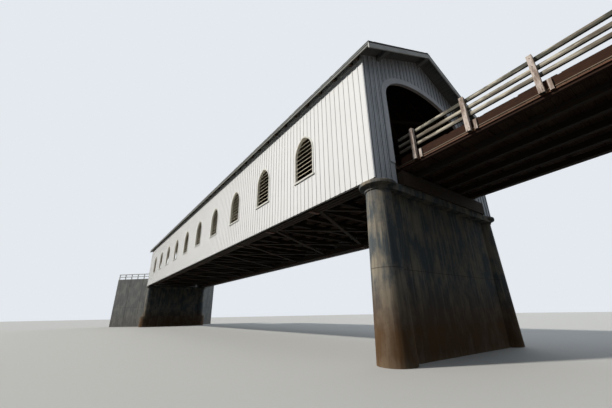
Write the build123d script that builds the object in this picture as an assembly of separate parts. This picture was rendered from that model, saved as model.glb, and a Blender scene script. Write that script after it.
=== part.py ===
from build123d import *
import math
import os

# Covered timber bridge on concrete piers, 1:2 scale, in millimetres.
# The origin is at the middle of the near pier's foot. +X runs to the near approach, -Y faces upstream.

# Side walls and trusses
panel = 2286.0
panel_count = 11
wall_length = panel * panel_count
near_end = 200.0
far_end = near_end - wall_length
half_width = 2400.0
siding = 60.0
wall_inner = half_width - siding
wall_bottom = 3200.0
near_inner = near_end - siding
far_inner = far_end + siding

# Roof, with z = ridge - pitch * |y| on its upper face
pitch = 0.5
ridge = 7525.0
eave_overhang = 160.0
portal_overhang = 360.0
roof_depth = 45.0
rafter_depth = 90.0
rafter_width = 50.0
roof_half = half_width + eave_overhang
sheet_under = ridge - roof_depth
rafter_under = sheet_under - rafter_depth
near_roof = near_end + portal_overhang
far_roof = far_end - portal_overhang
rake_depth = 130.0
rake_board = 25.0

# Truss chords in three leaves with gaps for the rods
chord_width = 300.0
girt_depth = 90.0
girt_height = 60.0
truss_y = wall_inner - girt_depth - chord_width / 2
leaf = 84.0
leaf_gap = 24.0
chord_depth = 225.0
truss_in = truss_y - chord_width / 2
truss_out = truss_y + chord_width / 2
bottom_chord = wall_bottom + 10.0
bottom_top = bottom_chord + chord_depth
seat = 50.0
top_top = rafter_under - pitch * (truss_out - seat)
top_chord = top_top - chord_depth
block_height = 150.0
block_half = 155.0
brace_width = 146.0
post_width = 100.0
rod_radius = 11.0
plate = 20.0
plate_half = 60.0
wall_top = rafter_under - pitch * (half_width - 40.0)

# Floor
beam_depth = 125.0
beam_width = 120.0
stringer_depth = 85.0
deck_depth = 60.0
stringer_bottom = bottom_top + beam_depth
deck_bottom = stringer_bottom + stringer_depth
deck_top = deck_bottom + deck_depth
deck_half = truss_in - 50.0
stringer_lines = 7
stringer_width = 90.0
guard_width = 90.0
guard_height = 100.0

# Portal arch
arch_half = half_width - 690.0
arch_rise = 846.0
arch_top = ridge - 1200.0
arch_spring = arch_top - arch_rise
arch_trim = 150.0

# Windows
window_width = 757.0
window_sill = wall_bottom + 880.0
window_top = window_sill + 1230.0
window_rise = 500.0
louvre_count = 10
slat_inset = 4.0
slat_start = 18.0
slat_rise = 52.0
slat_thick = 10.0
trim_width = 42.0
trim_proud = 15.0
sill_reach = 60.0
sill_proud = 35.0
sill_depth = 40.0

# Piers
column_foot = 330.0
column_head = 245.0
cap_radius = 365.0
cap_top = wall_bottom - 25.0
column_top = cap_top - 150.0
web_half = 150.0
head_half = 300.0
far_pier_x = far_end + 206.0
footing_top = 800.0
footing_half = 450.0

# Approach at the near end
approach_end = 7202.0
approach_half = arch_half - 185.0
bay = 1067.0
bay_count = 6
first_post = near_end + 400.0
post_size = 75.0
post_bottom = deck_top - 55.0
post_top = deck_top + 655.0
grade = 0.04
curb_height = 140.0
rail_depth = 40.0
top_rail = (deck_top + 560.0, deck_top + 630.0)
middle_rail = (deck_top + 400.0, deck_top + 470.0)
lower_rail = (deck_top + 257.0, deck_top + 325.0)
sleeper_depth = 50.0
approach_stringer = cap_top + 300.0

# Far abutment and its wing walls
back_wall = far_end - 424.0
back_thick = 150.0
back_half = arch_half + 40.0
wing_bay = 610.0
wing_bays = 6
wing_top = deck_top + 195.0
wing_thick = 150.0
wing_rail_top = wing_top + 450.0
wing_rail_thick = 30.0
wing_top_rail = (wing_rail_top - 75.0, wing_rail_top - 5.0)
wing_low_rail = (wing_rail_top - 275.0, wing_rail_top - 215.0)
joint_width = 20.0
joint_depth = 15.0


def box(x0, x1, y0, y1, z0, z1):
    solid = Solid.make_box(x1 - x0, y1 - y0, z1 - z0)
    return solid.moved(Location((x0, y0, z0)))


def prism(points, push):
    return Solid.extrude(Face(Wire.make_polygon(points, close=True)), Vector(*push))


def lift(x):
    return grade * (x - near_inner)


def sloped(x0, x1, y0, y1, z0, z1):
    # A board of the approach, whose long faces climb with the road.
    profile = [(x0, z0 + lift(x0)), (x1, z0 + lift(x1)), (x1, z1 + lift(x1)), (x0, z1 + lift(x0))]
    return along(profile, y0, y1)


def footed(x0, x1, y0, y1, z0, z1):
    # A support with a level foot and a top that climbs with the road.
    return along([(x0, z0), (x1, z0), (x1, z1 + lift(x1)), (x0, z1 + lift(x0))], y0, y1)


def across(profile, x0, x1):
    # A profile of (y, z) pairs pushed along X.
    return prism([(x0, y, z) for y, z in profile], (x1 - x0, 0, 0))


def along(profile, y0, y1):
    # A profile of (x, z) pairs pushed along Y.
    return prism([(x, y0, z) for x, z in profile], (0, y1 - y0, 0))


def plan(profile, z0, z1):
    # A profile of (x, y) pairs pushed along Z.
    return prism([(x, y, z0) for x, y in profile], (0, 0, z1 - z0))


def upright(radius, x, y, z0, z1):
    return Solid.make_cylinder(radius, z1 - z0, Plane((x, y, z0)))


def hexagon(x, y, z0, z1):
    turns = [math.radians(60 * k) for k in range(6)]
    corners = [(x + rod_radius * math.cos(t), y + rod_radius * math.sin(t)) for t in turns]
    return plan(corners, z0, z1)


def both(y0, y1):
    return [(y0, y1), (-y1, -y0)]


def fuse(solids):
    first = solids[0]
    for other in solids[1:]:
        first = first + other
    return first


def save(name, solids):
    shape = solids[0] if len(solids) == 1 else Compound(children=list(solids))
    export_step(shape, "parts/" + name + ".step")


os.makedirs("parts", exist_ok=True)


# Round columns joined by a thinner web, under ringed caps and a crosshead
def pier(x, foot):
    # The web's faces lean in at the columns' own taper.
    taper = (column_foot - column_head) / column_foot / column_top
    radius = column_foot * (1 - taper * foot)
    columns = [
        Solid.make_cone(radius, column_head, column_top - foot, Plane((x, y, foot)))
        for y in (truss_y, -truss_y)
    ]
    low, high = web_half * (1 - taper * foot), web_half * (1 - taper * column_top)
    web = [(x - low, foot), (x + low, foot), (x + high, column_top), (x - high, column_top)]
    return fuse(columns + [along(web, -truss_y, truss_y)])


def pier_caps(x):
    rings = [upright(cap_radius, x, y, column_top, cap_top) for y in (truss_y, -truss_y)]
    head = box(x - head_half, x + head_half, -truss_y, truss_y, column_top, cap_top)
    return fuse(rings + [head])


save("near_pier", [pier(0, 0)])
save("far_pier", [pier(far_pier_x, footing_top)])
save("pier_caps", [pier_caps(0), pier_caps(far_pier_x)])
footing = box(
    far_pier_x - footing_half, far_pier_x + footing_half, -truss_y, truss_y, 0, footing_top
)
footing_ends = [
    upright(footing_half, far_pier_x, y, 0, footing_top) for y in (truss_y, -truss_y)
]
save("far_footing", [fuse([footing] + footing_ends)])

# Bearing planks between caps and chords
save(
    "bearing_planks",
    [
        box(-150, near_inner, -wall_inner, wall_inner, cap_top, bottom_chord),
        box(far_inner, far_pier_x + 150, -wall_inner, wall_inner, cap_top, bottom_chord),
    ],
)

# Panel points and truss lines
points = [near_end - panel * k for k in range(panel_count + 1)]
leaves = [truss_in + i * (leaf + leaf_gap) for i in range(3)]


def leaf_pairs(side):
    for start in leaves:
        yield (start, start + leaf) if side > 0 else (-start - leaf, -start)


sides = {"upstream": -1, "downstream": 1}
bottoms, tops, blocks, rods, girts = [], [], [], [], []
for name, side in sides.items():
    spans = list(leaf_pairs(side))
    bottoms += [box(far_inner, near_inner, a, b, bottom_chord, bottom_top) for a, b in spans]
    tops += [box(far_inner, near_inner, a, b, top_chord, top_top) for a, b in spans]
    braces = []
    low, high = bottom_top + block_height, top_chord - block_height
    near_face = near_inner - post_width
    far_face = far_inner + post_width
    ranges = [(near_face - block_half, near_face)]
    ranges += [(x - block_half, x + block_half) for x in points[1:-1]]
    ranges += [(far_face, far_face + block_half)]
    for a, b in spans:
        for x0, x1 in ranges:
            blocks.append(box(x0, x1, a, b, bottom_top, low))
            blocks.append(box(x0, x1, a, b, high, top_chord))
    half = brace_width / 2
    for i in range(panel_count):
        near_x = (near_face if i == 0 else points[i]) - half - 5
        far_x = (far_face if i == panel_count - 1 else points[i + 1]) + half + 5
        rising = [(near_x - half, low), (near_x + half, low), (far_x + half, high)]
        rising += [(far_x - half, high)]
        falling = [(near_x - half, high), (near_x + half, high), (far_x + half, low)]
        falling += [(far_x - half, low)]
        main, counter = (rising, falling) if i < panel_count / 2 else (falling, rising)
        braces += [along(main, *spans[0]), along(counter, *spans[1]), along(main, *spans[2])]
    save("braces_" + name, braces)
    for x in points[1:-1]:
        gap_a = side * (truss_in + leaf + leaf_gap / 2)
        gap_b = side * (truss_out - leaf - leaf_gap / 2)
        y0, y1 = sorted((side * truss_in, side * truss_out))
        foot = box(x - plate_half, x + plate_half, y0, y1, bottom_chord - plate, bottom_chord)
        head = box(x - plate_half, x + plate_half, y0, y1, top_top, top_top + plate)
        bars = [hexagon(x, y, bottom_chord - plate, top_top + plate) for y in (gap_a, gap_b)]
        rods.append(fuse([foot, head] + bars))
    y0, y1 = sorted((side * truss_out, side * wall_inner))
    levels = (bottom_chord + 80, window_sill - 120, window_top + 50, top_chord + 35)
    girts += [box(far_inner, near_inner, y0, y1, z, z + girt_height) for z in levels]
save("bottom_chords", bottoms)
save("top_chords", tops)
save("angle_blocks", blocks)
save("truss_rods", rods)
save("girts", girts)

end_posts = []
for y0, y1 in both(truss_in, truss_out):
    end_posts.append(box(near_inner - post_width, near_inner, y0, y1, bottom_top, top_chord))
    end_posts.append(box(far_inner, far_inner + post_width, y0, y1, bottom_top, top_chord))
save("end_posts", end_posts)

# Floor beams, stringers, deck and wheel guards
beams = []
for x in points[:-1]:
    for sixth in (1, 3, 5):
        mid = x - panel * sixth / 6
        beams.append(
            box(
                mid - beam_width / 2,
                mid + beam_width / 2,
                10 - truss_out,
                truss_out - 10,
                bottom_top,
                stringer_bottom,
            )
        )
save("floor_beams", beams)
back_end = back_wall - back_thick
guard_out = arch_half - 60.0
gaps = stringer_lines - 1
stringer_y = [guard_out * (2 * k / gaps - 1) - stringer_width / 2 for k in range(stringer_lines)]
save(
    "stringers",
    [
        box(back_end + 20, near_inner - 10, y0, y0 + stringer_width, stringer_bottom, deck_bottom)
        for y0 in stringer_y
    ],
)
deck = box(far_inner, near_inner, -deck_half, deck_half, deck_bottom, deck_top)
tongue = box(back_end, far_inner, 10 - guard_out, guard_out - 10, deck_bottom, deck_top)
save("deck", [fuse([deck, tongue])])
save(
    "wheel_guards",
    [
        box(back_end + 20, near_inner - 10, y0, y1, deck_top, deck_top + guard_height)
        for y0, y1 in both(guard_out - guard_width, guard_out)
    ],
)


# Crossed wind braces between the chords, one cross for each panel
def cross(x0, x1, z0, z1, width):
    clip = box(min(x0, x1), max(x0, x1), -truss_in, truss_in, z0, z1)
    run, rise = abs(x1 - x0), 2 * truss_in
    angle = math.degrees(math.atan2(rise, run))
    length = math.hypot(run, rise) + 2 * width
    arms = []
    for turn in (angle, -angle):
        arm = box(-length / 2, length / 2, -width / 2, width / 2, z0, z1)
        arm = arm.moved(Location(((x0 + x1) / 2, 0, 0), (0, 0, turn)))
        arms.append(arm)
    return (arms[0] + arms[1]) & clip


lower, upper = [], []
for i in range(panel_count):
    x0, x1 = points[i], points[i + 1]
    lower.append(
        cross(
            min(x0 - 5, near_inner - 5),
            max(x1 + 5, far_inner + 5),
            bottom_chord + 80,
            bottom_chord + 140,
            110,
        )
    )
    upper.append(
        cross(
            near_inner if i == 0 else x0 - 60,
            far_inner if i == panel_count - 1 else x1 + 60,
            top_chord + 65,
            top_chord + 125,
            90,
        )
    )
save("lower_laterals", lower)
save("upper_laterals", upper)
tie_z = top_chord + 35
save(
    "tie_beams",
    [box(x - 60, x + 60, -truss_in, truss_in, tie_z, tie_z + 150) for x in points[1:-1]],
)

# Rafters from a ridge board to their seats on the top chords and the side walls
ridge_half = 15.0
tail = roof_half - 30.0
profile = [(ridge_half, sheet_under - pitch * ridge_half)]
profile += [(tail, sheet_under - pitch * tail), (tail, rafter_under - pitch * tail)]
profile += [(half_width, rafter_under - pitch * half_width), (half_width, wall_top)]
profile += [(half_width - 40, wall_top), (truss_out, rafter_under - pitch * truss_out)]
profile += [(truss_out, top_top), (truss_out - seat, top_top)]
profile += [(ridge_half, rafter_under - pitch * ridge_half)]
rafter_x = [near_end - panel * (2 * j + 1) / 8 for j in range(4 * panel_count)]
starts = [x - rafter_width / 2 for x in rafter_x]
starts += [near_inner - rafter_width, far_inner]
legs = []
for x in starts:
    legs.append(across(profile, x, x + rafter_width))
    legs.append(across([(-y, z) for y, z in profile], x, x + rafter_width))
save("rafters", legs)
board = [(-ridge_half, rafter_under - 20), (-ridge_half, sheet_under - pitch * ridge_half)]
board += [(0, sheet_under), (ridge_half, sheet_under - pitch * ridge_half)]
board += [(ridge_half, rafter_under - 20)]
save("ridge_board", [across(board, far_inner, near_inner)])

# Roof slopes, ridge cap, eave fascias, rake boards and lookouts
for name, side in sides.items():
    slope = [(0, ridge), (side * roof_half, ridge - pitch * roof_half)]
    slope += [(side * roof_half, sheet_under - pitch * roof_half), (0, sheet_under)]
    save("roof_" + name, [across(slope, far_roof, near_roof)])
cap = [(0, ridge + 15), (110, ridge - 40), (110, ridge - 55), (0, ridge)]
cap += [(-110, ridge - 55), (-110, ridge - 40)]
save("ridge_cap", [across(cap, far_roof, near_roof)])
fascia_top = sheet_under - pitch * (tail + 20)
save(
    "eave_fascias",
    [
        box(far_roof + rake_board, near_roof - rake_board, y0, y1, fascia_top - 60, fascia_top)
        for y0, y1 in both(tail, tail + 20)
    ],
)
rake = [(0, sheet_under), (roof_half, sheet_under - pitch * roof_half)]
rake += [(roof_half, sheet_under - pitch * roof_half - rake_depth), (0, sheet_under - rake_depth)]
rake += [(-roof_half, sheet_under - pitch * roof_half - rake_depth)]
rake += [(-roof_half, sheet_under - pitch * roof_half)]
save(
    "rake_boards",
    [
        across(rake, near_roof - rake_board, near_roof),
        across(rake, far_roof, far_roof + rake_board),
    ],
)


def lookouts(x0, x1):
    found = [box(x0, x1, -50, 50, ridge - 180, sheet_under - pitch * 50)]
    outer = arch_half + 160
    top = sheet_under - pitch * outer
    return found + [box(x0, x1, y0, y1, top - 110, top) for y0, y1 in both(outer - 80, outer)]


near_beams = lookouts(near_end, near_roof - rake_board)
save("lookouts", near_beams + lookouts(far_roof + rake_board, far_end))

# Side walls with ten pointed windows in each
half = window_width / 2
arc_radius = (half**2 + window_rise**2) / (2 * half)
spring = window_top - window_rise


def pointed(x, grow, y0, y1, foot):
    # A pointed opening grown by a margin, from foot up to its apex.
    reach = arc_radius + grow
    top = spring + math.sqrt(reach**2 - (arc_radius - half) ** 2)
    left, right = x - half - grow, x + half + grow
    swing = math.radians(0.5 * math.degrees(math.acos((arc_radius - half) / reach)))
    offset = arc_radius - half
    mid_left = (x + offset - reach * math.cos(swing), y0, spring + reach * math.sin(swing))
    mid_right = (x - offset + reach * math.cos(swing), y0, spring + reach * math.sin(swing))
    edges = [
        Edge.make_line((left, y0, foot), (right, y0, foot)),
        Edge.make_line((right, y0, foot), (right, y0, spring)),
        Edge.make_three_point_arc((right, y0, spring), mid_right, (x, y0, top)),
        Edge.make_three_point_arc((x, y0, top), mid_left, (left, y0, spring)),
        Edge.make_line((left, y0, spring), (left, y0, foot)),
    ]
    return Solid.extrude(Face(Wire(edges)), Vector(0, y1 - y0, 0))


window_x = points[1:-1]
pitch_z = (window_top - window_sill) / louvre_count
trims = []
for name, side in sides.items():
    y0, y1 = sorted((side * wall_inner, side * half_width))
    wall = box(far_end, near_end, y0, y1, wall_bottom, wall_top)
    slats = []
    for x in window_x:
        wall = wall - pointed(x, 0, y0, y1, window_sill)
    save("side_wall_" + name, [wall])
    inner, outer = side * (wall_inner + slat_inset), side * (half_width - slat_inset)
    for x in window_x:
        opening = pointed(x, 0, y0, y1, window_sill)
        for i in range(louvre_count):
            z = window_sill + i * pitch_z + slat_start
            blade = [(inner, z + slat_rise), (inner, z + slat_rise + slat_thick)]
            blade += [(outer, z + slat_thick), (outer, z)]
            blade = across(blade, x - half - 1, x + half + 1)
            slats.append(blade & opening)
        t0, t1 = sorted((side * half_width, side * (half_width + trim_proud)))
        s0, s1 = sorted((side * half_width, side * (half_width + sill_proud)))
        ring = pointed(x, trim_width, t0, t1, window_sill) - pointed(x, 0, t0, t1, window_sill)
        x0, x1 = x - half - sill_reach, x + half + sill_reach
        sill = box(x0, x1, s0, s1, window_sill - sill_depth, window_sill)
        trims.append(ring + sill)
    save("louvres_" + name, slats)
save("window_trim", trims)


# Portal walls under the gable, with a flattened arch
def portal(x0, x1):
    gable = [(wall_inner, wall_bottom), (wall_inner, wall_top), (half_width, wall_top)]
    gable += [(half_width, sheet_under - pitch * half_width), (0, sheet_under)]
    gable += [(-y, z) for y, z in reversed(gable[:-1])]
    return across(gable, x0, x1) - arch_cut(x0, x1, 0, wall_bottom)


def arch_cut(x0, x1, grow, foot):
    profile = Ellipse(arch_half + grow, arch_rise + grow).face()
    profile = Plane((x0, 0, arch_spring), x_dir=(0, 1, 0), z_dir=(1, 0, 0)) * profile
    crown = Solid.extrude(profile.face(), Vector(x1 - x0, 0, 0))
    legs = box(x0, x1, -arch_half - grow, arch_half + grow, foot, arch_spring)
    return crown + legs


def arch_band(x0, x1):
    return arch_cut(x0, x1, arch_trim, deck_top) - arch_cut(x0, x1, 0, deck_top)


save("near_portal_wall", [portal(near_inner, near_end)])
save("far_portal_wall", [portal(far_end, far_inner)])
save("arch_trim", [arch_band(near_end, near_end + 20), arch_band(far_end - 20, far_end)])

# Approach span: bolster, stringers, sleepers, deck, curbs, posts and rails
bolster_end = near_end + 145.0
bolster_half = arch_half - 10
save(
    "approach_bolster",
    [footed(near_end + 15, bolster_end, -bolster_half, bolster_half, cap_top, approach_stringer)],
)
sleeper_z = deck_bottom - sleeper_depth
edge = approach_half - 15
lines = 5
stringer_reach = approach_half - 425
save(
    "approach_stringers",
    [
        sloped(near_end + 15, approach_end - 22, y - 50, y + 50, approach_stringer, sleeper_z)
        for y in [stringer_reach * (2 * k / (lines - 1) - 1) for k in range(lines)]
    ],
)
sleeper_count = 14
step = (approach_end - near_end - 140) / (sleeper_count - 1)
sleepers = []
for j in range(sleeper_count):
    x = near_end + 40 + step * j
    sleepers.append(sloped(x, x + 60, 90 - edge, edge - 90, sleeper_z, deck_bottom))
for y0, y1 in both(edge - 90, edge):
    sleepers.append(sloped(near_end + 15, approach_end, y0, y1, sleeper_z, deck_bottom))
save("approach_sleepers", [fuse(sleepers)])
save(
    "approach_deck",
    [sloped(near_inner + 2, approach_end, -approach_half, approach_half, deck_bottom, deck_top)],
)
curb_top = deck_top + curb_height
save(
    "approach_curbs",
    [
        sloped(near_end + 40, approach_end, y0, y1, deck_top, curb_top)
        for y0, y1 in both(approach_half - 90, approach_half)
    ],
)
post_x = [first_post + bay * k for k in range(bay_count + 1)]
post_out = approach_half + post_size
posts, blocks = [], []
for x in post_x:
    for y0, y1 in both(approach_half, post_out):
        z0, z1 = post_bottom + lift(x), post_top + lift(x)
        posts.append(box(x - post_size / 2, x + post_size / 2, y0, y1, z0, z1))
    for y0, y1 in both(approach_half, approach_half + 35):
        blocks.append(sloped(x + 90, x + 140, y0, y1, deck_bottom, curb_top - 10))
save("approach_posts", posts)
save("curb_blocks", blocks)
rail_heights = (top_rail, middle_rail, lower_rail)
save(
    "approach_rails",
    [
        sloped(near_end + 30, approach_end - 60, y0, y1, z0, z1)
        for z0, z1 in rail_heights
        for y0, y1 in both(approach_half - rail_depth, approach_half)
    ],
)

# Timber bent half-way along the approach, and the abutment at its end
bent_x = (near_end + approach_end) / 2
bent_half = approach_half - 25
cap_foot = approach_stringer + lift(bent_x - 75) - 150
bent = [footed(bent_x - 75, bent_x + 75, -bent_half, bent_half, cap_foot, approach_stringer)]
for k in range(4):
    y = (bent_half - 150) * (2 * k / 3 - 1)
    bent.append(box(bent_x - 70, bent_x + 70, y - 70, y + 70, 0, cap_foot))
save("approach_bent", [fuse(bent)])
bracing = []
reach = bent_half - 100
for x0, x1, way in ((bent_x - 110, bent_x - 70, 1), (bent_x + 70, bent_x + 110, -1)):
    strip = [(-way * reach, 500), (-way * reach, 640), (way * reach, 2940), (way * reach, 2800)]
    bracing.append(across(strip, x0, x1))
save("bent_braces", bracing)
save(
    "near_abutment",
    [footed(approach_end - 300, approach_end, -bent_half - 300, bent_half + 300, 0, approach_stringer)],
)

# Far abutment with a wing wall running off at 45 degrees on each side
save("far_abutment", [box(back_end, back_wall, -back_half, back_half, 0, stringer_bottom)])
diagonal = math.sqrt(0.5)
wing_length = wing_bay * wing_bays


def wing_point(side, distance, inward):
    x = back_wall - diagonal * (distance + inward)
    y = side * (back_half + diagonal * (distance - inward))
    return (x, y)


def wing_bar(side, d0, d1, n0, n1, z0, z1):
    corners = [wing_point(side, d0, n0), wing_point(side, d1, n0)]
    corners += [wing_point(side, d1, n1), wing_point(side, d0, n1)]
    return plan(corners, z0, z1)


wings, wing_posts, wing_rails = [], [], []
for side in (-1, 1):
    wall = wing_bar(side, 0, wing_length, 0, wing_thick, 0, wing_top)
    wall = wall - box(back_end, back_wall, -back_half, back_half, 0, wing_top)
    for joint in (2 * wing_bay, 4 * wing_bay):
        start = joint - joint_width / 2
        wall = wall - wing_bar(side, start, start + joint_width, -1, joint_depth, 0, wing_top)
    wings.append(wall)
    for k in range(wing_bays + 1):
        mid = min(max(k * wing_bay, 200), wing_length - 30)
        wing_posts.append(wing_bar(side, mid - 30, mid + 30, 50, 110, wing_top, wing_rail_top))
    for z0, z1 in (wing_top_rail, wing_low_rail):
        wing_rails.append(wing_bar(side, 150, wing_length, 20, 20 + wing_rail_thick, z0, z1))
save("wing_walls", wings)
save("wing_posts", wing_posts)
save("wing_rails", wing_rails)
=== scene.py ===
import math
import random

import bmesh
import bpy
from mathutils import Matrix, Vector


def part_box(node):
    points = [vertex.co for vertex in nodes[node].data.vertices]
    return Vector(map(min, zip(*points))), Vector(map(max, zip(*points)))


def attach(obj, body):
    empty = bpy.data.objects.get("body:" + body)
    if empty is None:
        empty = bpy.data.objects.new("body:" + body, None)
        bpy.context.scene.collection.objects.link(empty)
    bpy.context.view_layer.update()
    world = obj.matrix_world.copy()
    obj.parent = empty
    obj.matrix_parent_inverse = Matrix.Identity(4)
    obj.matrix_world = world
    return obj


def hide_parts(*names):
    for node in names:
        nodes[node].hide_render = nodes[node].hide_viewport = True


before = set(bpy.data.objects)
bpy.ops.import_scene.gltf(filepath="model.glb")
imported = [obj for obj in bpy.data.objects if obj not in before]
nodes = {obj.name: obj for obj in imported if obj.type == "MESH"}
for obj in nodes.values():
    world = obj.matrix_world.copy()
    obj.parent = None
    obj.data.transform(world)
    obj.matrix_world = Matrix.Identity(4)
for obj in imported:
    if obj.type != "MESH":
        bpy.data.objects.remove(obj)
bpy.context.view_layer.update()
print("frame loaded")

# everything is in metres of the half-size model, unless a note says real
modelScale = 0.5          # model metres for each real metre


def real(metres):
    return metres * modelScale


# camera

cameraSetup = {
    "place": (real(6.86), real(-12.76), real(1.60)),
    "heading": 36.145,     # degrees that the view turns from the bridge's axis
    "pitch": 20.75,        # looks up by this much
    "roll": -0.914,
    "lens": 17.05,
    "sensor": 36.0,
    "reach": 500.0,
}


def addCamera(setup):
    heading = math.radians(setup["heading"])
    pitch = math.radians(setup["pitch"])
    roll = math.radians(setup["roll"])
    level = Vector((-math.cos(heading), math.sin(heading), 0))
    forward = level * math.cos(pitch) + Vector((0, 0, math.sin(pitch)))
    side = Vector((math.sin(heading), math.cos(heading), 0))
    top = side.cross(forward)
    right = side * math.cos(roll) + top * math.sin(roll)
    upward = top * math.cos(roll) - side * math.sin(roll)
    data = bpy.data.cameras.new("camera")
    data.lens = setup["lens"]
    data.sensor_width = setup["sensor"]
    data.clip_end = setup["reach"]
    camera = bpy.data.objects.new("camera", data)
    turn = Matrix((right, upward, -forward)).transposed().to_4x4()
    camera.matrix_world = Matrix.Translation(setup["place"]) @ turn
    bpy.context.scene.collection.objects.link(camera)
    bpy.context.scene.camera = camera


addCamera(cameraSetup)


# sizes read from the frame

wallLow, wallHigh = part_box("side_wall_upstream")
roofLow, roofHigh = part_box("roof_upstream")
curbLow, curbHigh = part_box("approach_curbs")
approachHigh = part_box("approach_deck")[1]
halfWidth = -wallLow[1]
farEnd, nearEnd = wallLow[0], wallHigh[0]
approachHalf = approachHigh[1]
ridgeTop = roofHigh[2]

roof = {
    "pitch": 0.5,            # fall for each metre out
    "depth": 0.045,
}
approach = {
    "deckTop": 3.705,        # before the climb
    "grade": 0.04,           # climb for each metre along
    "start": nearEnd - 0.06,
    "railFeet": (4.265, 4.105, 3.962),     # rails' lower edges before the climb, top rail first
}


def roofUnder(y):
    return ridgeTop - roof["depth"] - roof["pitch"] * abs(y)


def climb(x):
    return approach["grade"] * (x - approach["start"])


# materials

def hexColour(code):
    # sRGB hex to the linear colour that a socket takes
    channels = [int(code[i:i + 2], 16) / 255 for i in (0, 2, 4)]
    linear = [c / 12.92 if c <= 0.04045 else ((c + 0.055) / 1.055) ** 2.4 for c in channels]
    return (*linear, 1.0)


def addNode(tree, kind, inputs=None, **settings):
    # inputs gives sockets, by number or name, a value, a hex colour or another node's output
    node = tree.nodes.new("ShaderNode" + kind)
    for name, value in settings.items():
        setattr(node, name, value)
    for place, value in (inputs or {}).items():
        if isinstance(value, bpy.types.NodeSocket):
            tree.links.new(value, node.inputs[place])
        else:
            node.inputs[place].default_value = hexColour(value) if isinstance(value, str) else value
    return node


def startMaterial(name, colour, roughness, metallic=0.0, specular=0.15):
    # paint, concrete and wood have an IOR near 1.5, and porous surfaces hardly shine
    material = bpy.data.materials.new(name)
    material.use_nodes = True
    tree = material.node_tree
    shader = tree.nodes["Principled BSDF"]
    shader.inputs["Base Color"].default_value = hexColour(colour)
    shader.inputs["Roughness"].default_value = roughness
    shader.inputs["Metallic"].default_value = metallic
    if not metallic:
        shader.inputs["IOR"].default_value = 1.5
        shader.inputs["Specular IOR Level"].default_value = specular
    return material, tree, shader


def closeMaterial(tree, shader, colour, relief, strength, depth):
    # last step of a finish: its colour, and a relief of this depth
    tree.links.new(colour, shader.inputs["Base Color"])
    bump = addNode(tree, "Bump", {"Height": relief, "Strength": strength, "Distance": depth})
    tree.links.new(bump.outputs[0], shader.inputs["Normal"])


def coat(tree, under, over, strength, *masks):
    # one colour over another; each mask is a pattern that fades in from its low to its high value
    for pattern, low, high in masks:
        strength = addNode(tree, "MapRange", {0: pattern, 1: low, 2: high, 4: strength}).outputs[0]
    return addNode(tree, "Mix", {0: strength, 6: under, 7: over}, data_type="RGBA").outputs[2]


def mottle(tree, sizes, detail=4.0, rough=0.55):
    # uneven pattern; sizes are real millimetres from one dark place to the next along x, y and z
    scale = [1000 / (modelScale * size) for size in sizes]
    place = addNode(tree, "TexCoord").outputs["Object"]
    stretched = addNode(tree, "Mapping", {"Vector": place, "Scale": scale}).outputs[0]
    noise = addNode(tree, "TexNoise", {"Vector": stretched, "Scale": 1.0, "Detail": detail,
                                       "Roughness": rough})
    return noise.outputs["Fac"]


def placeAlong(tree, axis):
    place = addNode(tree, "TexCoord").outputs["Object"]
    return addNode(tree, "SeparateXYZ", {"Vector": place}).outputs[axis]


def faceAlong(tree, axis):
    # how far a face looks along an axis, for undersides and end faces
    looks = addNode(tree, "NewGeometry").outputs["Normal"]
    return addNode(tree, "SeparateXYZ", {"Vector": looks}).outputs[axis]


def boardsAlong(tree, axis, pitch, start=0.0):
    # boards counted along an axis from the start of their row
    away = addNode(tree, "Math", {0: placeAlong(tree, axis), 1: start}, operation="SUBTRACT")
    return addNode(tree, "Math", {0: away.outputs[0], 1: pitch}, operation="DIVIDE").outputs[0]


def boardTone(tree, axis, pitch, start=0.0):
    # one chance value for each board of a row
    board = addNode(tree, "Math", {0: boardsAlong(tree, axis, pitch, start)}, operation="FLOOR")
    chance = addNode(tree, "TexWhiteNoise", {"W": board.outputs[0]}, noise_dimensions="1D")
    return chance.outputs["Value"]


def jointLines(tree, axis, pitch, gap):
    # 1 in the gap between two boards of a row and 0 on a board
    part = addNode(tree, "Math", {0: boardsAlong(tree, axis, pitch)}, operation="FRACT")
    lines = addNode(tree, "Math", {0: part.outputs[0], 1: gap / pitch}, operation="LESS_THAN")
    return lines.outputs[0]


def paintedBoards(name, paint, dirt, grain, streaks=0.3, wear=0.4, under=None):
    # exterior oil paint on sawn boards: chalky and matt, dirt down the grain, small bare specks;
    # with under, faces that look down take that colour as painted shade
    material, tree, shader = startMaterial(name, paint, 0.62, specular=0.25)
    blotches = mottle(tree, (1429, 1429, 1429), 5.0)
    runs = mottle(tree, [3636 if size > 100 else 303 for size in grain], 3.0)   # long with the grain
    fine = mottle(tree, grain, 6.0, 0.65)
    colour = coat(tree, paint, dirt, streaks, (blotches, 0.38, 0.72), (runs, 0.38, 0.68))
    colour = coat(tree, colour, dirt, wear, (fine, 0.6, 0.72))
    if under:
        # painted shade: faces that look down take the under colour
        colour = coat(tree, colour, under, 1.0, (faceAlong(tree, 2), -0.3, -0.7))
    closeMaterial(tree, shader, colour, fine, 0.3, 0.002)
    return material


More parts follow.
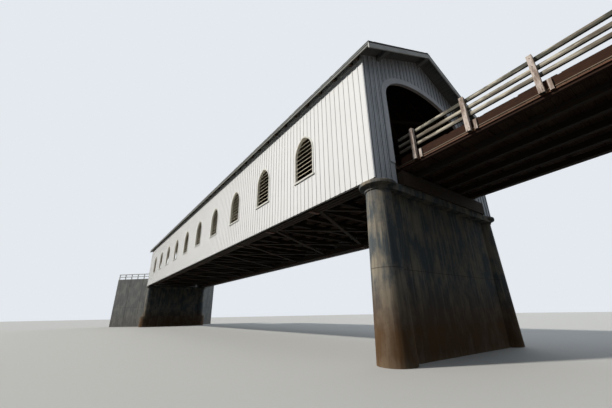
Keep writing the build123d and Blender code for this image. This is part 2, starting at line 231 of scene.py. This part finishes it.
def railGrimeAndShade(tree, colour, flakes, fine):
    # grime and painted shade along each rail's lower edge, ragged by up to 20 mm, widening the dark
    # underside, and a top rail dark in patches
    lengths = mottle(tree, (1538, 222.2, 222.2), 4.0, 0.6)
    colour = coat(tree, colour, "584A3C", 0.72, (lengths, 0.5, 0.56))     # whole lengths gone bare
    # height with the climb taken off
    level = addNode(tree, "Math", {0: placeAlong(tree, 0), 1: -approach["grade"],
                                   2: placeAlong(tree, 2)}, operation="MULTIPLY_ADD").outputs[0]
    ragged = addNode(tree, "Math", {0: fine, 1: -0.02, 2: level},
                     operation="MULTIPLY_ADD").outputs[0]
    feet = [foot + climb(0) for foot in approach["railFeet"]]             # as level counts them
    # a dark band along each rail's lower edge: painted shade that widens the underside, with grime
    for foot in feet:
        colour = coat(tree, colour, "4B443A", 0.75,
                      (ragged, foot + 0.026, foot + 0.01), (level, foot - 0.004, foot))
    # the top rail darkened in patches
    onTop = addNode(tree, "Math", {0: level, 1: feet[0] - 0.01}, operation="GREATER_THAN")
    return coat(tree, colour, "45473E", 0.8, (flakes, 0.42, 0.56), (onTop.outputs[0], 0, 1))


def peelingPaint(name, paint, bare, grain, rails=False):
    # old cream paint on weathered wood: flaked off in patches to grey-brown, with undersides
    # darkened as painted shade; here the grain is the size of a flaked patch
    material, tree, shader = startMaterial(name, paint, 0.66)
    flakes = mottle(tree, grain, 7.0, 0.68)
    fine = mottle(tree, [size / 6 for size in grain], 5.0, 0.65)
    patches = addNode(tree, "MapRange", {0: flakes, 1: 0.47, 2: 0.57, 4: 0.85}).outputs[0]
    specks = addNode(tree, "MapRange", {0: fine, 1: 0.56, 2: 0.66, 4: 0.6}).outputs[0]
    bared = addNode(tree, "Math", {0: patches, 1: specks}, operation="MAXIMUM").outputs[0]
    colour = coat(tree, paint, bare, bared)
    if rails:
        colour = railGrimeAndShade(tree, colour, flakes, fine)
    # painted shade: faces that look down are darkened
    colour = coat(tree, colour, "2E2A24", 1.0, (faceAlong(tree, 2), -0.3, -0.7))
    relief = addNode(tree, "Math", {0: fine, 1: bared}, operation="SUBTRACT").outputs[0]
    closeMaterial(tree, shader, colour, relief, 0.4, 0.003)
    return material


def wallPaint():
    # white house paint on upright boards: chalky, dirtied at the foot by road spray
    material, tree, shader = startMaterial("chalkyWhitePaint", "ECEDED", 0.62, specular=0.25)
    fine = mottle(tree, (15.38, 15.38, 256.4), 6.0, 0.65)     # grain, coarser than real to show
    clouds = mottle(tree, (2564, 2564, 1709), 5.0)
    runs = mottle(tree, (83.33, 83.33, 2000), 2.0)
    boards = boardTone(tree, 0, batten["pitch"], nearEnd)
    colour = coat(tree, "F4F4F3", "D0D0CC", 0.12, (boards, 0, 1))
    colour = coat(tree, colour, "B4AFA2", 0.1,
                  (placeAlong(tree, 2), batten["sprayTop"], batten["sprayFull"]), (runs, 0.35, 0.7))
    colour = coat(tree, colour, "C6C5BF", 0.1, (clouds, 0.45, 0.75))
    colour = coat(tree, colour, "A9A69B", 0.35, (fine, 0.62, 0.74))
    closeMaterial(tree, shader, colour, fine, 0.25, 0.002)
    return material


def sawnTimber(name, light, dark, grain, joints=None):
    # rough-sawn softwood, weathered: matt, long grain with darker checks
    material, tree, shader = startMaterial(name, light, 0.82)
    fibres = mottle(tree, [2.5 * size for size in grain], 7.0, 0.62)     # coarser than under paint
    patches = mottle(tree, (1250, 1250, 1250))
    uneven = addNode(tree, "MapRange", {0: patches, 1: 0.25, 2: 0.7, 3: 0.5, 4: 1.0}).outputs[0]
    colour = coat(tree, light, dark, uneven, (fibres, 0.35, 0.68))
    relief = fibres
    if joints:       # between planks laid side by side along an axis
        axis, pitch, gap = joints
        lines = jointLines(tree, axis, pitch, gap)
        colour = coat(tree, colour, dark, 0.45, (boardTone(tree, axis, pitch), 0, 1))
        colour = coat(tree, colour, "0D0A08", 0.85, (lines, 0, 1))
        relief = addNode(tree, "Math", {0: lines, 1: -1.5, 2: fibres},
                         operation="MULTIPLY_ADD").outputs[0]
    closeMaterial(tree, shader, colour, relief, 0.45, 0.004)
    return material


def roofBoards():
    # roof sheathing: dark bare softwood indoors, old grey-white paint where it hangs out past the
    # walls, end faces along x near black
    material, tree, shader = startMaterial("roofSheathing", "4A3D31", 0.8)
    fibres = mottle(tree, (333.3, 20.83, 20.83), 6.0, 0.62)
    indoors = []
    for axis, middle, half in ((0, (nearEnd + farEnd) / 2, (nearEnd - farEnd) / 2),
                               (1, 0.0, halfWidth - 0.01)):
        within = addNode(tree, "Math", {0: placeAlong(tree, axis), 1: middle, 2: half},
                         operation="COMPARE")
        indoors.append((within.outputs[0], 0, 1))
    bare = coat(tree, "4B3D30", "1F1812", 1.0, (fibres, 0.35, 0.68))
    painted = coat(tree, "8C8E8D", "5F615C", 1.0, (fibres, 0.4, 0.7))
    colour = coat(tree, painted, bare, 1.0, *indoors)
    colour = coat(tree, colour, "17130F", 0.7, (jointLines(tree, 1, real(0.2), 0.007), 0, 1))
    # end faces along x turned near black
    ends = addNode(tree, "Math", {0: faceAlong(tree, 0)}, operation="ABSOLUTE").outputs[0]
    colour = coat(tree, colour, "16130F", 1.0, (ends, 0.6, 0.8))
    closeMaterial(tree, shader, colour, fibres, 0.35, 0.003)
    return material


concrete = {
    "pourJoint": 1.53,           # heights above the water line
    "jointHalf": 0.008,
    "stainTop": 1.4,
    "stainFull": 0.5,
    "bleachTop": 0.32,
    "bleachFull": 0.16,
}


def boardFormedConcrete(name, pale, leafShadeStain, light, patch, stain):
    # concrete cast against upright boards: board marks, a pour joint, blue-grey patches that are
    # partly stain and partly painted shade of leaves, a foot stained brown
    material, tree, shader = startMaterial(name, pale, 0.86)
    marks = mottle(tree, (90.91, 90.91, 4545), 2.0)           # form boards about 90 mm wide
    blotches = mottle(tree, (666.7, 666.7, 1212), 8.0, 0.6)
    drips = mottle(tree, (138.9, 138.9, 2381), 5.0)
    grit = mottle(tree, (28.57, 28.57, 28.57))                # coarser than real so that it shows
    height = placeAlong(tree, 2)
    # blue-grey patches: painted dappled leaf shade, kept mild as stains
    colour = coat(tree, pale, leafShadeStain, patch, (blotches, 0.4, 0.56))
    colour = coat(tree, colour, light, patch * 0.85, (drips, 0.55, 0.72))
    colour = coat(tree, colour, "4A4945", patch * 0.5, (drips, 0.46, 0.3))
    colour = coat(tree, colour, "4B4842", patch * 0.45, (marks, 0.52, 0.68))
    rusty = addNode(tree, "MapRange", {0: blotches, 1: 0.35, 2: 0.62, 3: 0.75 * stain, 4: stain})
    colour = coat(tree, colour, "5F452A", rusty.outputs[0],
                  (height, concrete["stainTop"], concrete["stainFull"]))
    ragged = addNode(tree, "Math", {0: marks, 1: 0.35, 2: height},
                     operation="MULTIPLY_ADD").outputs[0]
    colour = coat(tree, colour, "8C765C", stain * 0.35,
                  (ragged, concrete["bleachTop"], concrete["bleachFull"]))
    joint = addNode(tree, "Math", {0: height, 1: concrete["pourJoint"], 2: concrete["jointHalf"]},
                    operation="COMPARE").outputs[0]
    colour = coat(tree, colour, "4C463D", 0.6, (joint, 0, 1))
    gritty = addNode(tree, "Math", {0: grit, 1: 0.35, 2: marks},
                     operation="MULTIPLY_ADD").outputs[0]
    relief = addNode(tree, "Math", {0: gritty, 1: joint}, operation="SUBTRACT").outputs[0]
    closeMaterial(tree, shader, colour, relief, 0.5, 0.006)
    return material


def splitShingles():
    # split cedar shingles gone grey, each a little different, moss in patches
    material, tree, shader = startMaterial("splitCedarShingles", "6A645A", 0.85)
    fibres = mottle(tree, (17.86, 125, 125), 6.0)
    patches = mottle(tree, (909.1, 909.1, 909.1), 5.0)
    single = addNode(tree, "Attribute", attribute_name="shingleTone").outputs["Fac"]
    colour = coat(tree, "7B756A", "3F3B35", 1.0, (fibres, 0.35, 0.68))
    colour = coat(tree, colour, "2B2824", 0.55, (single, 0, 1))
    colour = coat(tree, colour, "525840", 0.6, (patches, 0.55, 0.75))
    closeMaterial(tree, shader, colour, fibres, 0.5, 0.003)
    return material


def wroughtIron(name, light, dark):
    # wrought iron, long since rusted dull
    material, tree, shader = startMaterial(name, light, 0.7, 0.5)
    flakes = mottle(tree, (66.67, 66.67, 66.67), 5.0)
    tree.links.new(coat(tree, dark, light, 1.0, (flakes, 0.4, 0.65)), shader.inputs["Base Color"])
    return material


batten = {
    "count": 154,                # fourteen boards to each of eleven panels
    "width": 0.026,
    "proud": 0.009,
    "shadow": 0.005,             # line of painted shadow and dirt beside each batten
    "shadowAndDirtProud": 0.002,
    "widths": (0.92, 1.08),      # least and greatest share of the width
    "ragged": 0.006,             # how far feet differ in height
    "sprayTop": 4.1,             # road dirt starts here on the wall and is full at sprayFull
    "sprayFull": 3.2,
    "seed": 7,
}
batten["pitch"] = (nearEnd - farEnd) / batten["count"]

# grain of painted boards in real millimetres, length and width of a line, coarser than real to show
alongX, alongY, upright = (133.3, 9.524, 9.524), (9.524, 133.3, 9.524), (9.524, 9.524, 133.3)
evenly = (13.33, 13.33, 13.33)
finishes = {
    "wallPaint": wallPaint(),
    "battenPaint": paintedBoards("battenWhitePaint", "EBEBE9", "B0AEA5", upright, 0.3, 0.3),
    # strips beside the wall battens: painted shadow at the batten edges, with dirt
    "battenShadowAndDirt": paintedBoards("shadowAndDirtBesideBattens", "B8B8B3", "85857E", upright),
    "portalPaint": paintedBoards("shadedWhitePaint", "E4E8ED", "9298A0", upright, 0.5, 0.5),
    "portalBatten": paintedBoards("portalBattenPaint", "EAEEF2", "9298A0", upright, 0.5, 0.5),
    # near-black strips beside the portal battens: painted shadow lines
    "portalShadowLine": paintedBoards("paintedShadowBesidePortalBattens", "1E2226", "121416", upright),
    "rakePaint": paintedBoards("rakeBoardPaint", "D9D8D3", "7F7B70", alongY, 0.6, 0.6),
    "archPaint": paintedBoards("archTrimPaint", "F1F3F6", "9AA0A6", evenly, 0.4, 0.3),
    "soffitPaint": paintedBoards("soffitGreyPaint", "9C9E9D", "63645F", alongX, 0.6, 0.5),
    "windowPaint": paintedBoards("windowTrimPaint", "E4E3DC", "9C998D", evenly, 0.5, 0.4),
    "railPaint": peelingPaint("peelingCreamPaint", "CDC5B2", "6C6355", (666.7, 142.9, 142.9), True),
    "postPaint": peelingPaint("peelingPostPaint", "D4C6BB", "836F61", (142.9, 142.9, 666.7)),
    "wingPaint": paintedBoards("whiteWingRailPaint", "D6D7D4", "8F8E86", evenly, 0.6, 0.6),
    "greyTrim": paintedBoards("greyEavePaint", "84847D", "49463F", alongX, 0.8, 0.7),
    # the louvres' undersides get painted shade in 4A402E
    "louvres": paintedBoards("oliveLouvrePaint", "D9CEB3", "7A705A", alongX, 0.6, 0.5, "4A402E"),
    "shingles": splitShingles(),
    "roofBoards": roofBoards(),
    "pierConcrete": boardFormedConcrete("stainedPierConcrete", "958C7C", "555C60", "ADA390",
                                        0.95, 0.95),
    "wallConcrete": boardFormedConcrete("greyWallConcrete", "9A9993", "74787A", "B0AEA6", 0.6, 0.2),
    "deckPlanks": sawnTimber("wornDeckPlanks", "7B6350", "33261C", alongY, (0, real(0.25), 0.006)),
    "curbTimber": sawnTimber("rustStainedTimber", "432A1C", "170E09", alongX),
    "sleeperTimber": sawnTimber("tarredSleepers", "3E2A20", "17100C", alongY),
    "beamTimber": sawnTimber("darkSawnTimber", "41362C", "17120E", alongX),
    "crossTimber": sawnTimber("darkCrossTimber", "41362C", "17120E", alongY),
    "trussTimber": sawnTimber("trussTimber", "6A5645", "2A2018", (22.22, 22.22, 66.67)),
    "rafterTimber": sawnTimber("rafterTimber", "5A4A3B", "241B14", alongY),
    "paleEdge": paintedBoards("sunBleachedEdge", "83725F", "352A22", alongX, 1.0, 0.9),
    "brownEdge": paintedBoards("brownStainedEdge", "6F4730", "2E1C13", alongX, 1.0, 0.9),
    "iron": wroughtIron("rustedRodIron", "6B4128", "2E2A28"),
    "bolts": wroughtIron("rustedBoltIron", "7A6350", "4A3A2E"),
}
print("materials made")


# a CAD node keeps its shape and gets a finish

finishOfNode = {
    "wallPaint": ("side_wall_upstream", "side_wall_downstream"),
    "portalPaint": ("near_portal_wall", "far_portal_wall"),
    "archPaint": ("arch_trim",),
    "rakePaint": ("rake_boards",),
    "windowPaint": ("window_trim",),
    "railPaint": ("approach_rails",),
    "postPaint": ("approach_posts", "curb_blocks"),
    "wingPaint": ("wing_posts", "wing_rails"),
    "greyTrim": ("eave_fascias",),
    "soffitPaint": ("lookouts",),
    "louvres": ("louvres_upstream", "louvres_downstream"),
    "shingles": ("ridge_cap",),
    "pierConcrete": ("near_pier", "far_pier", "pier_caps", "far_footing"),
    "wallConcrete": ("near_abutment", "far_abutment", "wing_walls"),
    "deckPlanks": ("approach_deck", "deck"),
    "curbTimber": ("approach_curbs", "wheel_guards"),
    "sleeperTimber": ("approach_sleepers",),
    "beamTimber": ("bottom_chords", "top_chords", "girts", "stringers", "approach_stringers"),
    "crossTimber": ("floor_beams", "tie_beams", "bearing_planks", "approach_bolster",
                    "approach_bent", "bent_braces", "lower_laterals", "upper_laterals"),
    "trussTimber": ("angle_blocks", "braces_upstream", "braces_downstream", "end_posts"),
    "rafterTimber": ("rafters", "ridge_board"),
    "roofBoards": ("roof_upstream", "roof_downstream"),
    "iron": ("truss_rods",),
}
for finish, names in finishOfNode.items():
    for name in names:
        data = nodes[name].data
        data.materials.clear()
        data.materials.append(finishes[finish])
print("nodes dressed")


# new pieces: boxes and skins gathered in one mesh each

boxFaces = ((0, 1, 3, 2), (4, 6, 7, 5), (0, 4, 5, 1), (2, 3, 7, 6), (0, 2, 6, 4), (1, 5, 7, 3))


def addBox(mesh, low, high, rise=None):
    # rise gives how far a corner is lifted at its x
    corners = [(x, y, z) for x in (low[0], high[0]) for y in (low[1], high[1])
               for z in (low[2], high[2])]
    if rise:
        corners = [(x, y, z + rise(x)) for x, y, z in corners]
    verts = [mesh.verts.new(c) for c in corners]
    for face in boxFaces:
        mesh.faces.new([verts[i] for i in face])


def addSkin(mesh, rings):
    # closes rings with as many points each into a solid
    loops = [[mesh.verts.new(point) for point in ring] for ring in rings]
    mesh.faces.new(loops[0])
    mesh.faces.new(loops[-1])
    for low, high in zip(loops, loops[1:]):
        for k in range(len(low)):
            after = (k + 1) % len(low)
            mesh.faces.new((low[k], low[after], high[after], high[k]))


def finishPiece(name, mesh, material):
    data = bpy.data.meshes.new(name)
    bmesh.ops.recalc_face_normals(mesh, faces=mesh.faces)
    mesh.to_mesh(data)
    mesh.free()
    data.materials.append(material)
    piece = bpy.data.objects.new(name, data)
    bpy.context.scene.collection.objects.link(piece)
    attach(piece, "root")
    return piece


# battens on the side walls, and beside them lines of painted shadow and dirt

window = {
    "count": 10,
    "panel": (nearEnd - farEnd) / 11,      # a window stands between each two of eleven panels
    "half": real(1.514) / 2,
    "rise": real(1.0),
    "sill": real(8.16),
    "apex": real(10.62),
    "trim": 0.042,
    "sillDepth": 0.042,
}


def archHeight(offset, half, rise, spring):
    # height of a pointed arch above a place across the opening
    radius = (half ** 2 + rise ** 2) / (2 * half)
    reach = abs(offset) + radius - half
    return spring + math.sqrt(max(radius ** 2 - reach ** 2, 0))


def wallStrips(name, side, width, proud, material):
    # upright strips at the board joints, broken at the windows
    chance = random.Random(batten["seed"])
    mesh = bmesh.new()
    y0, y1 = sorted((side * halfWidth, side * (halfWidth + proud)))
    spring = window["apex"] - window["rise"]
    margin = window["half"] + window["trim"]
    for i in range(batten["count"] + 1):
        x = nearEnd - i * batten["pitch"]
        wide = width * chance.uniform(*batten["widths"]) / 2
        x = min(max(x, farEnd + wide), nearEnd - wide)
        foot = wallLow[2] + chance.uniform(0.0, batten["ragged"])
        panel = round((nearEnd - x) / window["panel"])
        offset = x - (nearEnd - panel * window["panel"])
        stretches = [(foot, wallHigh[2])]
        if 1 <= panel <= window["count"] and abs(offset) < margin + wide:
            inside = min(abs(offset), margin - 0.001)
            above = archHeight(inside, margin, window["rise"] + window["trim"], spring)
            stretches = [(foot, window["sill"] - window["sillDepth"]), (above, wallHigh[2])]
        for low, high in stretches:
            addBox(mesh, (x - wide, y0, low), (x + wide, y1, high))
    finishPiece(name, mesh, finishes[material])


for side, word in ((-1, "upstream"), (1, "downstream")):
    # strips of painted shadow and dirt either side of each wall batten
    shadowAndDirtWidth = batten["width"] + 2 * batten["shadow"]
    wallStrips("batten_shadow_and_dirt_" + word, side, shadowAndDirtWidth, batten["shadowAndDirtProud"], "battenShadowAndDirt")
    wallStrips("battens_" + word, side, batten["width"], batten["proud"], "battenPaint")


# the same on the portals, cut off by the arch and the roof

portal = {
    "half": real(3.42),
    "rise": real(1.692),
    "apex": real(12.65),
    "trim": 0.151,
    "boards": 30,
    "shadow": 0.015,             # line of painted shadow beside each batten, with some dirt
    "ragged": 0.008,
    "seed": 21,
}


def portalStrips(name, x, outward, width, proud, material):
    chance = random.Random(portal["seed"])
    mesh = bmesh.new()
    x0, x1 = sorted((x, x + outward * proud))
    spring = portal["apex"] - portal["rise"]
    rise = portal["rise"] + portal["trim"]
    edge = portal["half"] + portal["trim"]
    inner = halfWidth - width / 2
    for i in range(portal["boards"] + 1):
        y = -inner + i * 2 * inner / portal["boards"]
        wide = width * chance.uniform(*batten["widths"]) / 2
        wide = min(wide, halfWidth - abs(y)) if abs(y) + wide > halfWidth else wide
        top = roofUnder(abs(y) + wide) - 0.001
        foot = wallLow[2] + chance.uniform(0.0, portal["ragged"])
        if abs(y) - wide < edge:
            near = max(abs(y) - wide, 0)
            foot = spring + rise * math.sqrt(max(0, 1 - (near / edge) ** 2))
        addBox(mesh, (x0, y - wide, foot), (x1, y + wide, top))
    finishPiece(name, mesh, finishes[material])


for word, x, outward in (("near", nearEnd, 1), ("far", farEnd, -1)):
    # near-black strips of painted shadow either side of each portal batten
    shadowAndDirtWidth = batten["width"] + 2 * portal["shadow"]
    portalStrips("batten_shadow_and_dirt_" + word + "_portal", x, outward, shadowAndDirtWidth, batten["shadowAndDirtProud"],
                 "portalShadowLine")
    portalStrips("battens_" + word + "_portal", x, outward, batten["width"], batten["proud"],
                 "portalBatten")
print("battens set")


# frieze boards that close the wall under the eaves

frieze = {
    "thick": 0.018,
    "low": 6.150,
}


def friezeBoards():
    mesh = bmesh.new()
    for side in (-1, 1):
        inner, outer = side * halfWidth, side * (halfWidth + frieze["thick"])
        profile = ((inner, frieze["low"]), (outer, frieze["low"]),
                   (outer, roofUnder(outer)), (inner, roofUnder(inner)))
        addSkin(mesh, [[(x, y, z) for y, z in profile] for x in (farEnd, nearEnd)])
    finishPiece("frieze_boards", mesh, finishes["battenPaint"])


friezeBoards()


# pier caps: a thin rounded disc on a neck ring over each column, with the crosshead between

cap = {
    "columnY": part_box("end_posts")[1][1] - 0.15,
    "places": (0.0, farEnd + 0.206),
    "sides": 72,
    "profile": ((0.262, 3.012), (0.268, 3.020), (0.268, 3.076), (0.276, 3.088), (0.318, 3.096),
                (0.352, 3.100), (0.362, 3.107), (0.365, 3.118), (0.365, 3.160), (0.360, 3.171),
                (0.350, 3.175)),      # radius and height
    "headHalf": 0.30,
    "headLow": 3.025,
    "headTop": 3.175,
}


def pierCaps():
    mesh = bmesh.new()
    turns = [2 * math.pi * k / cap["sides"] for k in range(cap["sides"])]
    half = cap["headHalf"]
    for x in cap["places"]:
        for y in (-cap["columnY"], cap["columnY"]):
            addSkin(mesh, [[(x + radius * math.cos(turn), y + radius * math.sin(turn), z)
                            for turn in turns] for radius, z in cap["profile"]])
        addBox(mesh, (x - half, -cap["columnY"], cap["headLow"]),
               (x + half, cap["columnY"], cap["headTop"]))
    piece = finishPiece("ringed_pier_caps", mesh, finishes["pierConcrete"])
    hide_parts("pier_caps")


pierCaps()
print("friezes and caps set")


# roof shingles in overlapping courses

shingle = {
    "exposure": 0.075,
    "length": 0.19,
    "width": 0.105,
    "widths": (0.7, 1.3),        # least and greatest share of the width
    "thick": 0.007,
    "thicks": (0.9, 1.5),
    "gap": 0.003,
    "headUnder": 0.0005,         # how far a head's under and upper face lie off the roof
    "headOver": 0.002,
    "buttUnder": 0.006,
    "ragged": 0.006,             # how far butts differ
    "ridgeGap": 0.02,
    "faces": ((2, 3, 7, 6), (4, 5, 7, 6), (0, 2, 6, 4), (1, 3, 7, 5)),     # the four that can show
    "seeds": {-1: 31, 1: 32},
}


def shingleSlope(side, word):
    chance = random.Random(shingle["seeds"][side])
    mesh = bmesh.new()
    slope = math.atan(roof["pitch"])
    down = Vector((0, side * math.cos(slope), -math.sin(slope)))
    normal = Vector((0, side * math.sin(slope), math.cos(slope)))
    ridgePoint = Vector((0, 0, ridgeTop))
    total = -roofLow[1] / math.cos(slope)
    courses = int((total - 0.03) / shingle["exposure"])
    for course in range(courses):
        butt = total - course * shingle["exposure"]
        head = max(butt - shingle["length"], shingle["ridgeGap"])
        x = roofLow[0] + chance.uniform(0, 0.03)
        while x < roofHigh[0] - 0.01:
            wide = min(shingle["width"] * chance.uniform(*shingle["widths"]), roofHigh[0] - x)
            drop = chance.uniform(-shingle["ragged"], 0.0)
            lift = shingle["thick"] * chance.uniform(*shingle["thicks"])
            ends = []
            for distance, under, over in (
                    (head, shingle["headUnder"], shingle["headOver"]),
                    (butt + drop, shingle["buttUnder"], shingle["buttUnder"] + lift)):
                for rise in (under, over):
                    for across in (x, x + wide - shingle["gap"]):
                        spot = ridgePoint + down * distance + normal * rise
                        ends.append(mesh.verts.new((across, spot.y, spot.z)))
            for face in shingle["faces"]:
                mesh.faces.new([ends[i] for i in face])
            x += wide
    piece = finishPiece("shingles_" + word, mesh, finishes["shingles"])
    values = []
    while len(values) < len(piece.data.polygons):
        values += [chance.random()] * len(shingle["faces"])
    tones = piece.data.attributes.new("shingleTone", "FLOAT", "FACE")
    tones.data.foreach_set("value", values)


shingleSlope(-1, "upstream")
shingleSlope(1, "downstream")
print("shingles laid")


# approach: edge strips under the curb and short planks along its top

edge = {
    "strips": ((3.640, 0.014, 1), (3.686, 0.012, 0)),   # height at the start, thickness, 1 if brown
    "start": nearEnd + 0.04,
    "inset": 0.002,
    "proud": 0.010,
}


def edgeStrips():
    mesh = bmesh.new()
    brown = []
    for low, thick, isBrown in edge["strips"]:
        for side in (-1, 1):
            y0, y1 = sorted((side * (approachHalf - edge["inset"]),
                             side * (approachHalf + edge["proud"])))
            addBox(mesh, (edge["start"], y0, low), (approachHigh[0], y1, low + thick), climb)
            brown += [isBrown] * len(boxFaces)
    piece = finishPiece("deck_edge_strips", mesh, finishes["paleEdge"])
    piece.data.materials.append(finishes["brownEdge"])
    piece.data.polygons.foreach_set("material_index", brown)


curbCap = {
    "length": 0.52,
    "lengths": (0.7, 1.25),      # least and greatest share of the length
    "width": 0.085,
    "gap": 0.05,
    "gaps": (0.6, 1.6),
    "thick": 0.014,
    "thicks": (0.8, 1.4),
    "curbHeight": 0.140,
    "innerPlay": 0.01,           # how far the edges wander
    "outerPlay": 0.008,
    "seed": 51,
}


def curbCaps():
    # planks nailed along the curb's top, with gaps that notch its line
    chance = random.Random(curbCap["seed"])
    mesh = bmesh.new()
    top = approach["deckTop"] + curbCap["curbHeight"]
    for side in (-1, 1):
        x = curbLow[0] + 0.02
        while x < curbHigh[0] - 0.1:
            long = min(curbCap["length"] * chance.uniform(*curbCap["lengths"]), curbHigh[0] - x)
            inner = approachHalf - curbCap["width"] + chance.uniform(0, curbCap["innerPlay"])
            outer = approachHalf - chance.uniform(0, curbCap["outerPlay"])
            y0, y1 = sorted((side * inner, side * outer))
            thick = curbCap["thick"] * chance.uniform(*curbCap["thicks"])
            addBox(mesh, (x, y0, top - 0.001), (x + long, y1, top + thick), climb)
            x += long + curbCap["gap"] * chance.uniform(*curbCap["gaps"])
    finishPiece("curb_caps", mesh, finishes["curbTimber"])


# bolt heads on the approach posts: one at each rail and two at the foot

posts = {
    "first": nearEnd + 0.400,
    "bay": 1.067,
    "count": 7,
    "size": 0.075,
    "rails": (4.300, 4.140, 3.996),
    "foot": 3.68,
    "footShift": 0.018,
    "bolt": 0.007,
    "boltProud": 0.004,
}


def postBolts():
    mesh = bmesh.new()
    turns = [math.radians(60 * k) for k in range(6)]
    outer = approachHalf + posts["size"]
    for k in range(posts["count"]):
        x = posts["first"] + k * posts["bay"]
        spots = [(x, level + climb(x)) for level in posts["rails"]]
        for shift in (-posts["footShift"], posts["footShift"]):
            spots.append((x + shift, posts["foot"] + climb(x) + shift))
        for side in (-1, 1):
            for boltX, boltZ in spots:
                addSkin(mesh, [[(boltX + posts["bolt"] * math.cos(turn), side * y,
                                 boltZ + posts["bolt"] * math.sin(turn)) for turn in turns]
                               for y in (outer, outer + posts["boltProud"])])
    finishPiece("post_bolts", mesh, finishes["bolts"])


edgeStrips()
curbCaps()
postBolts()
print("approach dressed")


# stage: floor and backdrop that are pale only to the eye, soft sky light and two suns

stage = {
    "floor": 120.0,
    "floorDrop": 0.002,
    "backdrop": "E4E9EF",
    "ground": "BDBCB7",
    "darkGround": "2D2F2D",
    "zenith": "DCE6F4",
    "horizon": "AEBFCF",
    "zenithLevel": 0.68,
    "horizonLevel": 0.09,
    "skyCurve": 1.5,             # above 1 the light gathers near the zenith
    "suns": (                    # name, direction, strength, degrees across, colour
        ("key", (0.363, 0.734, -0.574), 3.4, 4.0, "FFFBF5"),
        ("fill", (0.30, -0.85, -0.42), 1.0, 50.0, "EAF1FB"),    # for sides in the key's shade
    ),
}


def seenRays(tree):
    # 1 for what the camera sees, by itself, in a gloss or through glass
    rays = addNode(tree, "LightPath").outputs
    seen = rays["Is Camera Ray"]
    for kind in ("Is Glossy Ray", "Is Transmission Ray"):
        seen = addNode(tree, "Math", {0: seen, 1: rays[kind]}, operation="MAXIMUM").outputs[0]
    return seen


def addFloor():
    mesh = bmesh.new()
    bmesh.ops.create_grid(mesh, x_segments=1, y_segments=1, size=stage["floor"])
    data = bpy.data.meshes.new("floor")
    mesh.to_mesh(data)
    mesh.free()
    floor = bpy.data.objects.new("floor", data)
    floor.location = (0, 0, -stage["floorDrop"])
    material, tree, shader = startMaterial("paleFloor", stage["ground"], 0.9)
    tree.links.new(coat(tree, stage["darkGround"], stage["ground"], seenRays(tree)),
                   shader.inputs["Base Color"])
    data.materials.append(material)
    bpy.context.scene.collection.objects.link(floor)


def addSky():
    world = bpy.data.worlds.new("paleStudio")
    world.use_nodes = True
    bpy.context.scene.world = world
    tree = world.node_tree
    tree.nodes.clear()
    place = addNode(tree, "TexCoord").outputs["Generated"]
    height = addNode(tree, "SeparateXYZ", {"Vector": place}).outputs[2]
    rise = addNode(tree, "MapRange", {0: height}).outputs[0]
    curved = addNode(tree, "Math", {0: rise, 1: stage["skyCurve"]}, operation="POWER").outputs[0]
    level = addNode(tree, "MapRange", {0: curved, 3: stage["horizonLevel"],
                                       4: stage["zenithLevel"]})
    colour = coat(tree, stage["horizon"], stage["zenith"], rise)
    light = addNode(tree, "Background", {"Color": colour, "Strength": level.outputs[0]})
    backdrop = addNode(tree, "Background", {"Color": stage["backdrop"], "Strength": 1.0})
    chosen = addNode(tree, "MixShader", {0: seenRays(tree), 1: light.outputs[0],
                                         2: backdrop.outputs[0]})
    addNode(tree, "OutputWorld", {"Surface": chosen.outputs[0]})


def addSun(name, direction, strength, angle, colour):
    data = bpy.data.lights.new(name, "SUN")
    data.energy = strength
    data.angle = math.radians(angle)
    data.color = hexColour(colour)[:3]
    lamp = bpy.data.objects.new(name, data)
    lamp.rotation_mode = "QUATERNION"
    lamp.rotation_quaternion = Vector(direction).to_track_quat("-Z", "Y")
    bpy.context.scene.collection.objects.link(lamp)


addFloor()
addSky()
for sun in stage["suns"]:
    addSun(*sun)
bpy.context.scene.view_settings.view_transform = "Standard"
print("stage set")
